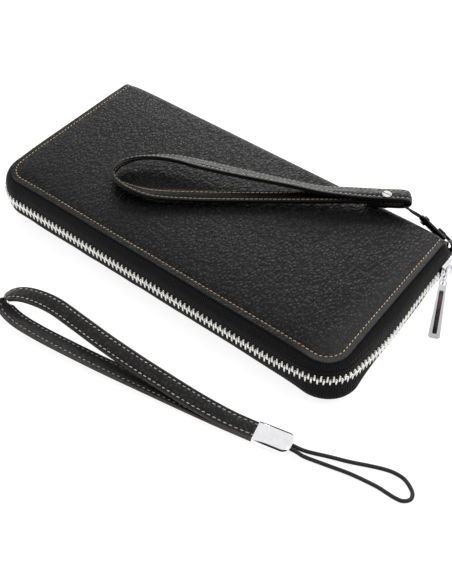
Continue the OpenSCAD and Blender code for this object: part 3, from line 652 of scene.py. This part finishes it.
def wrap_mesh(name, z0, inset, thick, mats, soft=True, bevel=0.5):
    """A sheet folded over the spine: its outer face at depth z0, trimmed to the round-cornered plan.

    A soft one sinks and curls, its upper face gets a rim of pressed-smooth leather painted paler as a
    highlight, and its spine is drawn in a little between its ends.
    """
    half, front, r = HALF - inset, FRONT - inset, CORNER - inset
    roll, rad, mid = SPINE - ROLL, ROLL - z0, HEIGHT / 2
    ys = [-front + d for d in ROW_STEPS] + list(np.linspace(-front + 12, roll, 32))
    # Each row's y, its z and its side: -1 on the lower plate, 0 on the spine, 1 on the upper plate
    rows = [(y, z0, -1) for y in ys]
    for a in np.linspace(0, 90, 13)[1:]:
        rows.append((roll + rad * math.sin(math.radians(a)), ROLL - rad * math.cos(math.radians(a)), 0))
    lower = rows + [(roll + rad, z, 0) for z in np.linspace(ROLL, mid, 7)[1:]]
    full = lower + [(y, HEIGHT - z, -s) for y, z, s in reversed(rows)]
    verts, rim = [], []
    s = lengths(np.array([[0, y, z] for y, z, _ in full]))
    for y, z, side in full:
        d = y + front
        hx = half - r + math.sqrt(max(r * r - (r - min(d, r)) ** 2, 0))
        xs = [-hx + e for e in SIDE_STEPS] + list(np.linspace(-hx + 12, hx - 12, MIDDLE_COLUMNS))
        xs += [hx - e for e in reversed(SIDE_STEPS)]
        for x in xs:
            # The rim mask on the upper plate: smoother leather with a painted highlight.
            rim.append(smooth_and_painted_highlight(x, y) if soft and side > 0 else 0.0)
            if not soft:
                verts.append((x, y, z))
            elif side:
                verts.append((x, y, z + (lift(x, y) if side < 0 else -sink(x, y))))
            else:
                belly = 0.35 * (1 - smoothstep(0, 7, half - abs(x)))
                belly -= 0.12 * noise.noise(Vector((x / 30, z / 9, 5)))
                over = smoothstep(0.3, 1, abs(z - mid) / mid)
                droop = -sink(x, roll) if z > mid else lift(x, roll)
                verts.append((x, y - max(belly, 0), z + over * droop))
    cols = len(SIDE_STEPS) * 2 + MIDDLE_COLUMNS
    faces = grid_faces(len(full), cols)
    uvs = [(verts[k][0], s[k // cols]) for f in faces for k in f]
    me = bpy.data.meshes.new(name)
    me.from_pydata([tuple(c * MM for c in v) for v in verts], [], faces)
    me.uv_layers.new(name="uv").data.foreach_set("uv", np.asarray(uvs, np.float32).ravel())
    me.attributes.new("rim", "FLOAT", "POINT").data.foreach_set("value", rim)
    for m in mats:
        me.materials.append(MAT[m])
    me.shade_smooth()
    ob = add_object(name, me)
    me.update()
    k = (len(lower) // 3) * cols + cols // 2
    if me.vertices[k].normal.z > 0:
        me.flip_normals()
    modifier(ob, "SOLIDIFY", thickness=thick * MM, offset=-1, use_even_offset=True,
             material_offset=len(mats) - 1, material_offset_rim=1)
    if bevel:
        modifier(ob, "BEVEL", width=bevel * MM, segments=3, limit_method="ANGLE",
                 angle_limit=math.radians(50))
    return settle(ob)


def seam_path(d, step, y_end=45.5):
    """Points at distance d in from the cover's edge, right-hand back end to left, and their directions."""
    x, x0, y0, r = HALF - d, HALF - CORNER, -(FRONT - CORNER), CORNER - d
    pts = [(x, y) for y in np.arange(y_end, y0, -0.25)]
    pts += [(x0 + r * math.cos(a), y0 - r * math.sin(a)) for a in np.linspace(0, math.pi / 2, 60)]
    pts += [(q, -FRONT + d) for q in np.arange(x0, 0, -0.25)]
    P = np.array(pts + [(-a, b) for a, b in reversed(pts)])
    s = lengths(P)
    q = np.arange(0.8, s[-1], step)
    return at_distance(q, s, P), at_distance(q, s, tangents(P))


def make_cover():
    cover = wrap_mesh("cover_wrap", 0, 0, 1.4, ["cover", "edge", "suede"])
    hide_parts("bottom_cover", "top_cover")
    lining = wrap_mesh("lining_wrap", 2.4, 1, 0.6, ["lining"] * 3, soft=False, bevel=0.2)
    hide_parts("bottom_lining", "top_lining")
    for ob in (cover, lining):
        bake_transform(ob)
    c, t = seam_path(SEAM, 2.1)
    for body, up in (("lid", 1), ("base", -1)):
        z = [HEIGHT - sink(*p) + 0.1 if up > 0 else max(lift(*p) - 0.1, 0.16) for p in c]
        st = stitches("cover_stitches_" + body, np.column_stack([c, z]),
                      np.column_stack([t, 0 * t[:, 0]]), np.tile([0, 0, up], (len(c), 1)),
                      1.4, 0.2, "gold", slant=8)
        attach(st, body)


# ---------------------------------------------------------------- main zip

# Where the teeth start, how far they stand out from the cover's edge, and their pitch on each tape
CHAIN_END, CHAIN_OUT, TOOTH_PITCH = 36.0, 3.65, 2.5
# How the zip lies: share of the way round from the right-hand end, extra distance out, extra height
LIE = [(0.0, 0.0, 0.0), (0.03, 0.0, 0.0), (0.125, 1.0, -1.8), (0.24, -0.9, 2.6), (0.32, 0.0, 0.0),
       (1.0, 0.0, 0.0)]


def lie(share):
    """The zip's extra distance out and extra height at a share of the way round."""
    for (a, out_a, up_a), (b, out_b, up_b) in zip(LIE, LIE[1:]):
        if share <= b:
            f = smoothstep(a, b, share)
            return out_a + f * (out_b - out_a), up_a + f * (up_b - up_a)
    return LIE[-1][1:]


def three_side_path(start=45.0, n=34, n_corner=22):
    """Edge of the cover from the right-hand back end to the left-hand one.

    Each row holds a place, the direction outwards and the share of the way round.
    """
    y0, xc = -(FRONT - CORNER), HALF - CORNER
    pts = [(HALF, y, 1, 0) for y in np.linspace(start, y0, n)]
    for a in np.linspace(0, math.pi / 2, n_corner)[1:]:
        pts.append((xc + CORNER * math.cos(a), y0 - CORNER * math.sin(a), math.cos(a), -math.sin(a)))
    half = pts + [(x, -FRONT, 0, -1) for x in np.linspace(xc, 0, n)[1:]]
    P = np.array(half + [(-x, y, -nx, ny) for x, y, nx, ny in reversed(half[:-1])])
    s = lengths(P[:, :2] + P[:, 2:] * CHAIN_OUT)
    return np.column_stack([P, s / s[-1]])


def make_tapes():
    path = three_side_path()
    outer = curve_through([(-4.5, 1.55), (-1, 1.55), (0.8, 1.75), (2.3, 2.6), (3.3, 4.5), (3.85, 7.2),
                           (4.0, 10.0), (4.0, 12.2)], 4)
    d = tangents(outer)
    normal = np.column_stack([d[:, 1], -d[:, 0]])
    inner = outer - 0.62 * normal
    section = np.vstack([outer, inner[::-1]])
    for name, body, node, flip in (("lower_tape", "base", "lower_zip_tape", False),
                                   ("upper_tape", "lid", "upper_zip_tape", True)):
        rings = []
        for x, y, nx, ny, share in path:
            out, rise = lie(share)
            ring = []
            for o, z in section:
                f = smoothstep(1.0, 3.0, o) * (1 - smoothstep(9.5, 11.5, z))
                w = 0.25 * f * noise.noise(Vector((x / 9, y / 9, z / 9 + (4 if flip else 0))))
                bulge = 0 if flip else 3.2 * bell(share - 0.222, 0.045) * bell(z - 4.5, 3.5)
                crease = 0.3 * bell(share - 0.24, 0.05) * math.cos(1.9 * z) if flip else 0
                e = o + w + out * smoothstep(-1, 3.6, o) + (bulge + crease) * f
                px, py = x + nx * e, y + ny * e
                if flip:
                    up = HEIGHT - z - 0.8 * sink(px, py) * (1 - smoothstep(2, 9, z))
                else:
                    up = z + 0.9 * lift(px, py) * (1 - smoothstep(2, 9, z))
                ring.append((px, py, up + rise * smoothstep(2, 12, z)))
            rings.append(ring)
        ob = settle(loft(name, rings, ["tape"]))
        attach(ob, body)
        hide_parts(node)


def tooth_shape():
    """One tooth, clamped on a tape that comes up from below: slim foot, wide head with a rounded top."""
    rings = []
    # Height, half its width along the chain, half its depth, radius of its corners
    for z, w, t, r in ((-2.95, 0.24, 0.85, 0.1), (-2.8, 0.36, 1.08, 0.2), (-1.5, 0.4, 1.18, 0.22),
                       (-0.5, 0.44, 1.18, 0.22), (0.1, 0.52, 1.14, 0.25), (0.6, 0.5, 1.06, 0.25),
                       (0.85, 0.36, 0.82, 0.18)):
        rings.append([(x, y, z) for x, y in rounded_box(-t, t, -w, w, r, 3)])
    k = len(rings[0])
    faces = [(i * k + j, i * k + (j + 1) % k, (i + 1) * k + (j + 1) % k, (i + 1) * k + j)
             for i in range(len(rings) - 1) for j in range(k)]
    faces += [tuple(range(k)), tuple((len(rings) - 1) * k + j for j in range(k))]
    return np.array(rings).reshape(-1, 3), faces


def make_teeth():
    pts, faces = tooth_shape()
    path = three_side_path(CHAIN_END)
    out = np.array([lie(q) for q in path[:, 4]])
    line = path[:, :2] + path[:, 2:4] * (CHAIN_OUT + out[:, :1])
    s = lengths(line)
    for name, body, node, flip in (("lower_teeth", "base", "lower_zip_teeth", False),
                                   ("upper_teeth", "lid", "upper_zip_teeth", True)):
        verts, allf = [], []
        first = 0.5 * TOOTH_PITCH if flip else 0.0
        rows = np.column_stack([line, path[:, 2:4], out[:, 1]])
        for i, q in enumerate(np.arange(first, s[-1] - 1.0, TOOTH_PITCH)):
            x, y, nx, ny, rise = at_distance([q], s, rows)[0]
            n = unit(np.array([nx, ny, 0.0]))
            t = np.cross([0, 0, 1.0], n)
            v = pts * [1, 1, -1 if flip else 1]
            tilt = rng.normal(0, 0.02)
            world = (np.array([x, y, HEIGHT / 2 + rise]) + v[:, :1] * n
                     + (v[:, 1:2] + tilt * v[:, 2:]) * t + v[:, 2:] * [0, 0, 1.0])
            base = i * len(pts)
            verts.append(world)
            allf += [tuple(base + k for k in f) for f in faces]
        ob = settle(mesh_piece(name, np.vstack(verts), allf, ["nickel_piece"]))
        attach(ob, body)
        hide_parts(node)


# ---------------------------------------------------------------- inside

def slab_grid(size, n):
    """Places along one side of a slab, close together at both ends."""
    end = np.array([0, 0.15, 0.6, 1.5])
    return np.concatenate([end, np.linspace(3, size - 3, n), size - end[::-1]])


def slab(name, x0, x1, y0, y1, z, t, nx, ny, mats, body, wave=0.08, r=1.5):
    """Soft flat piece with rounded corners and edges and slight waves."""
    gx, gy = slab_grid(x1 - x0, nx), slab_grid(y1 - y0, ny)
    verts = []
    for b in gy:
        db = min(b, y1 - y0 - b)
        cut = r - math.sqrt(max(r * r - (r - min(db, r)) ** 2, 0))
        for a in gx:
            f = a / (x1 - x0)
            x = x0 + cut + (x1 - x0 - 2 * cut) * f
            y = y0 + b
            w = wave * noise.noise(Vector((x / 25, y / 20, z)))
            verts.append((x, y, z + w))
    ob = mesh_piece(name, verts, grid_faces(len(gy), len(gx)), mats)
    modifier(ob, "SOLIDIFY", thickness=t * MM, offset=0)
    modifier(ob, "BEVEL", width=min(0.3 * t, 0.25) * MM, segments=2, limit_method="ANGLE",
             angle_limit=math.radians(50))
    settle(ob)
    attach(ob, body)
    return ob


def line_of_stitches(name, p0, p1, up, body, mat="grey_thread", pitch=2.6):
    p0, p1 = np.array(p0, float), np.array(p1, float)
    n = max(int(np.linalg.norm(p1 - p0) / pitch), 2)
    c = p0 + (p1 - p0) * ((np.arange(n) + 0.5) / n)[:, None]
    ob = stitches(name, c, np.tile(p1 - p0, (n, 1)), np.tile(up, (n, 1)), pitch * 0.7, 0.2, mat, slant=6)
    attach(ob, body)


# Millimetres: a card slot's width, the step from one slot to the next, the height of the lining's top
CARD_WIDTH, CARD_STEP, LINING_TOP = 87, 13, 3.06


def make_pockets():
    for body, prefix, up in (("base", "lower", 1), ("lid", "upper", -1)):
        def zed(z):
            return z if up > 0 else HEIGHT - z

        for s, side in ((-1, "left"), (1, "right")):
            x0 = s * 44.5 - CARD_WIDTH / 2
            x1 = x0 + CARD_WIDTH
            for k in range(3):
                top, z = 23 - CARD_STEP * k, 3.38 + 0.7 * k
                ob = slab(f"{prefix}_card_{side}_{k}", x0, x1, -33, top, zed(z), 0.62, 20, 12,
                          ["pocket"], body, wave=0.05)
                line_of_stitches(f"{prefix}_card_{side}_{k}_seam", (x0 + 2, top - 1.6, zed(z + 0.34)),
                                 (x1 - 2, top - 1.6, zed(z + 0.34)), (0, 0, up), body)
        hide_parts(prefix + "_card_pockets")
        cash = slab(prefix + "_slip", -88, 88, -33, -15, zed(5.38), 0.52, 40, 5, ["pocket"], body,
                    wave=0.05)
        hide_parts(prefix + "_cash_pocket")
        line_of_stitches(prefix + "_slip_seam", (-86, -16.6, zed(5.68)), (86, -16.6, zed(5.68)),
                         (0, 0, up), body)


def make_gussets():
    """Accordion of cloth at each end, from the lower lining to the upper one."""
    for s, side in ((-1, "left"), (1, "right")):
        zs = np.linspace(LINING_TOP, HEIGHT - LINING_TOP, 25)
        ys = np.linspace(-26, 39, 22)
        verts = []
        for z in zs:
            t = (z - LINING_TOP) / (HEIGHT - 2 * LINING_TOP)
            fold = 1.5 * math.sin(2 * math.pi * 1.5 * t) * min(1, 8 * t, 8 * (1 - t))
            for y in ys:
                taper = 0.35 + 0.65 * smoothstep(-26, -10, y)
                verts.append((s * (91.5 + fold * taper), y, z))
        ob = mesh_piece(f"gusset_{side}", verts, grid_faces(len(zs), len(ys)), ["lining"])
        modifier(ob, "SOLIDIFY", thickness=0.5 * MM, offset=0)
        settle(ob)
        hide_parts(f"{side}_gusset")
        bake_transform(ob)


def make_coin_pocket():
    for node in ("coin_panel_lower", "coin_panel_upper", "coin_front_strip"):
        lo, hi = (np.array(p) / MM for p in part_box(node))
        nx, ny = (max(int((hi[i] - lo[i]) / 4), least) for i, least in ((0, 6), (1, 4)))
        ob = slab(node + "_cloth", lo[0], hi[0], lo[1], hi[1], (lo[2] + hi[2]) / 2, 0.7, nx, ny,
                  ["lining"], "coin_pocket", wave=0.12)
        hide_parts(node)
    lo, hi = (np.array(p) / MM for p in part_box("coin_gusset"))
    r = 3.0
    pts = []
    for cx, cy, a0 in ((hi[0] - r, hi[1] - r, 0), (lo[0] + r, hi[1] - r, 90),
                       (lo[0] + r, lo[1] + r, 180), (hi[0] - r, lo[1] + r, 270)):
        for a in np.linspace(a0, a0 + 90, 7):
            c, s = math.cos(math.radians(a)), math.sin(math.radians(a))
            pts.append((cx + r * c, cy + r * s, c, s))
    pts.append(pts[0])
    zs = np.linspace(lo[2], hi[2], 7)
    rings = []
    dips = 0.9 * np.sin(np.pi * np.arange(7) / 6)
    for x, y, c, s in pts:
        outer = [(x - c * dip, y - s * dip, z) for dip, z in zip(dips, zs)]
        inner = [(x - c * (0.5 + dip), y - s * (0.5 + dip), z) for dip, z in zip(dips, zs)]
        rings.append(outer + inner[::-1])
    ob = settle(loft("coin_gusset_cloth", rings, ["lining"], caps=False))
    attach(ob, "coin_pocket")
    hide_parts("coin_gusset")
    lo, hi = (np.array(p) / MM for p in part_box("coin_zip_tapes"))
    y = (lo[1] + hi[1]) / 2
    made = []
    for s in (-1, 1):
        xs = np.linspace(lo[0], hi[0], 60)
        section = [(0.58, -0.2), (0.7, 0.22), (5.3, 0.2), (5.5, 0), (5.3, -0.22)]
        rings = [[(x, y + s * a, (lo[2] + hi[2]) / 2 + b) for a, b in section] for x in xs]
        made.append(settle(loft("coin_tape_" + ("front" if s < 0 else "back"), rings, ["tape"])))
        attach(made[-1], "coin_pocket")
    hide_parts("coin_zip_tapes")


# ---------------------------------------------------------------- metal and small parts

def make_ring_tab():
    """Leather tab folded round the ring's bar, following the CAD's outline."""
    route = [[86.4, 47.6, 15.5, 0, 0, 1], [92, 47.6, 15.5, 0, 0, 1], [96.5, 47.65, 15.5, 0, 0, 1],
             [98.6, 47.9, 15.5, 0, 0, 1], [100.3, 48.9, 15.5, 0, 0, 1], [101.1, 50.0, 15.5, 0, 0, 1],
             [100.9, 51.0, 15.5, 0, 0, 1], [100.0, 51.3, 15.5, 0, 0, 1], [99.35, 50.6, 15.5, 0, 0, 1],
             [99.5, 49.9, 15.5, 0, 0, 1]]
    P, _, A, N = strap_frames(route, 6)
    h, t = 1.65, 0.3
    section = np.array([(-h + 0.2, -t), (0, -t - 0.03), (h - 0.2, -t), (h, -t + 0.15), (h, t - 0.15),
                        (h - 0.2, t), (-h + 0.2, t), (-h, t - 0.15), (-h, -t + 0.15)])
    ob = settle(loft("ring_tab_leather", sweep_section(P, A, N, section), ["strap"]))
    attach(ob, "lid")
    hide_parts("ring_tab")


def make_ferrule():
    """Chrome sleeve: soft-edged box, its cord end rounded in plan, open where the strap goes in."""
    length, width, height, radius = 16.0, 10.4, 5.2, 3.4
    mouth = Vector((82.4, -77, 0)) * MM
    yaw = math.radians(13)
    # Distance along, inset at the sides, inset above and below, radius of the section's corners
    sizes = [(4.0, 0.75, 0.7, 0.9), (0.15, 0.7, 0.65, 1.0), (0, 0.55, 0.5, 1.2), (0, 0.25, 0.2, 1.5),
             (0.2, 0, 0, 1.75), (6, 0, 0, 1.75)]
    for a in np.linspace(0, 90, 12):
        s, c = math.sin(math.radians(a)), math.cos(math.radians(a))
        drop = 1.1 * (1 - math.sqrt(max(1 - max(s - 0.3, 0) ** 2 / 0.49, 0)))
        sizes.append((length - radius + radius * s, radius * (1 - c), drop, 1.75 - 0.9 * s))
    rings = []
    for x, side, drop, r in sizes:
        half = width / 2 - side
        rings.append([(x, y, z) for y, z in rounded_box(-half, half, drop, height - drop, r, 6)])
    ob = loft("ferrule_sleeve", rings, ["chrome_piece"])
    ob.data.transform(Matrix.Translation(mouth) @ Matrix.Rotation(yaw, 4, "Z"))
    settle(ob)
    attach(ob, "spare_strap")
    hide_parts("ferrule")


def make_tab_panel():
    """Dark metal sheet in the pull tab's sunk panel, a little narrower than the recess."""
    x0, x1, h, r = 3.75, 23.65, 1.02, 0.35
    bar, link_length = Vector((104.75, 40.1, 13.4)), 7.7
    link_yaw, tab_yaw, tab_pitch = (math.radians(a) for a in (12, -66.1, 29.3))
    hole = bar + Vector((math.sin(link_yaw), -math.cos(link_yaw), 0)) * link_length
    outline = [(x0, r - h), (x0 + r, -h), (x1 - r, -h), (x1, r - h), (x1, h - r), (x1 - r, h),
               (x0 + r, h), (x0, h - r)]
    rings = [[(x, y, z) for x, y in outline] for z in (0.24, 0.3)]
    rings.append([(x + (0.1 if x < 12 else -0.1), 0.85 * y, 0.32) for x, y in outline])
    ob = loft("tab_panel", rings, ["recess"])
    lean = Matrix.Rotation(tab_yaw, 4, "Z") @ Matrix.Rotation(tab_pitch, 4, "Y")
    ob.data.transform(Matrix.Translation(hole * MM) @ lean)
    settle(ob)
    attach(ob, "tab")


# The CAD nodes that keep their own mesh, by material
FINISH = {
    "nickel": ("lower_zip_stops", "upper_zip_stops", "coin_zip_teeth"),
    "chrome": ("slider_body", "pull_link", "pull_tab", "coin_slider", "coin_pull"),
    "steel": ("strap_rivet",),
    "dark": ("d_ring", "clasp_body", "clasp_gate", "swivel_post", "wire_link"),
    "board": ("bottom_board", "top_board"),
}
# Widths of their rounded edges, in millimetres
SOFT_EDGE = {"coin_zip_teeth": 0.12, "slider_body": 0.35, "pull_tab": 0.35, "coin_slider": 0.2,
             "coin_pull": 0.15, "strap_rivet": 0.2, "clasp_body": 0.12, "clasp_gate": 0.12,
             "lower_zip_stops": 0.15, "upper_zip_stops": 0.15}


def finish_cad():
    for mat, nodes in FINISH.items():
        for node in nodes:
            ob = NODES[node]
            for slot in ob.material_slots:
                slot.material = MAT[mat]
            if not ob.material_slots:
                ob.data.materials.append(MAT[mat])
            if node in SOFT_EDGE:
                modifier(ob, "BEVEL", width=SOFT_EDGE[node] * MM, segments=2, limit_method="ANGLE",
                         angle_limit=math.radians(35))


# ---------------------------------------------------------------- floor and light

def make_floor():
    """Pale table that glows a little, so that shadows on it stay faint."""
    me = bpy.data.meshes.new("floor")
    s = 9.0
    me.from_pydata([(-s, -s, 0), (s, -s, 0), (s, s, 0), (-s, s, 0)], [], [(0, 1, 2, 3)])
    m = Nodes("floor")
    speck = m.noise(m.node("ShaderNodeTexCoord", 3), 60, 3)
    grey = m.mix(m.ramp(speck, 0.3, 0.7), (0.3, 0.3, 0.3), (0.33, 0.33, 0.33))
    me.materials.append(m.finish(Base_Color=grey, Roughness=0.7, Specular_IOR_Level=0.1,
                                 Emission_Color=(1, 1, 1, 1), Emission_Strength=0.88))
    ob = add_object("floor", me)
    ob.location.z = -0.0003


def area(name, place, target, size, power):
    data = bpy.data.lights.new(name, "AREA")
    data.shape = "RECTANGLE"
    data.size, data.size_y = size
    data.energy = power
    ob = add_object(name, data)
    ob.location = place
    ob.rotation_mode = "QUATERNION"
    ob.rotation_quaternion = (Vector(target) - Vector(place)).to_track_quat("-Z", "Y")


def make_light():
    """Bright room that is dark low down on the viewer's side, so that metal shows dark outlines."""
    world = bpy.data.worlds.new("world")
    world.use_nodes = True
    t = world.node_tree
    bg = t.nodes["Background"]
    coords = t.nodes.new("ShaderNodeTexCoord")
    toward = t.nodes.new("ShaderNodeVectorMath")
    toward.operation = "DOT_PRODUCT"
    toward.inputs[1].default_value = (0.62, -0.78, 0)
    ramp = t.nodes.new("ShaderNodeMapRange")
    ramp.interpolation_type = "SMOOTHSTEP"
    t.links.new(coords.outputs[0], toward.inputs[0])
    t.links.new(toward.outputs[1], ramp.inputs[0])
    # The light falls from 0.98 to 0.02 as a direction leans from 0.15 to 0.55 towards the viewer's side
    for i, value in ((1, 0.15), (2, 0.55), (3, 0.98), (4, 0.02)):
        ramp.inputs[i].default_value = value
    t.links.new(ramp.outputs[0], bg.inputs["Strength"])
    bg.inputs["Color"].default_value = (1, 1, 1, 1)
    bpy.context.scene.world = world
    area("back_softbox", (-0.55, 1.05, 0.6), (0.03, 0.0, 0.0), (0.9, 0.5), 7)
    area("right_softbox", (0.75, 0.35, 0.95), (0.05, 0, 0), (0.5, 0.5), 4)
    bpy.context.scene.view_settings.view_transform = "Standard"


# ---------------------------------------------------------------- build

make_camera()
make_cord()
make_strap("wrist_strap_leather", WRIST_ROUTE, 7.2, 0.9, "wrist_strap", ("strap_outer", "strap_lining"),
           "strap_edge", "backing", "tan", 2.2)
make_strap("spare_strap_leather", SPARE_ROUTE, 8.4, 0.85, "spare_strap",
           ("spare_strap_outer", "spare_strap_lining"), "spare_edge", "spare_backing", "beige", 2.5)
make_cover()
make_tapes()
make_teeth()
make_pockets()
make_gussets()
make_coin_pocket()
make_ring_tab()
make_ferrule()
make_tab_panel()
finish_cad()
make_floor()
make_light()
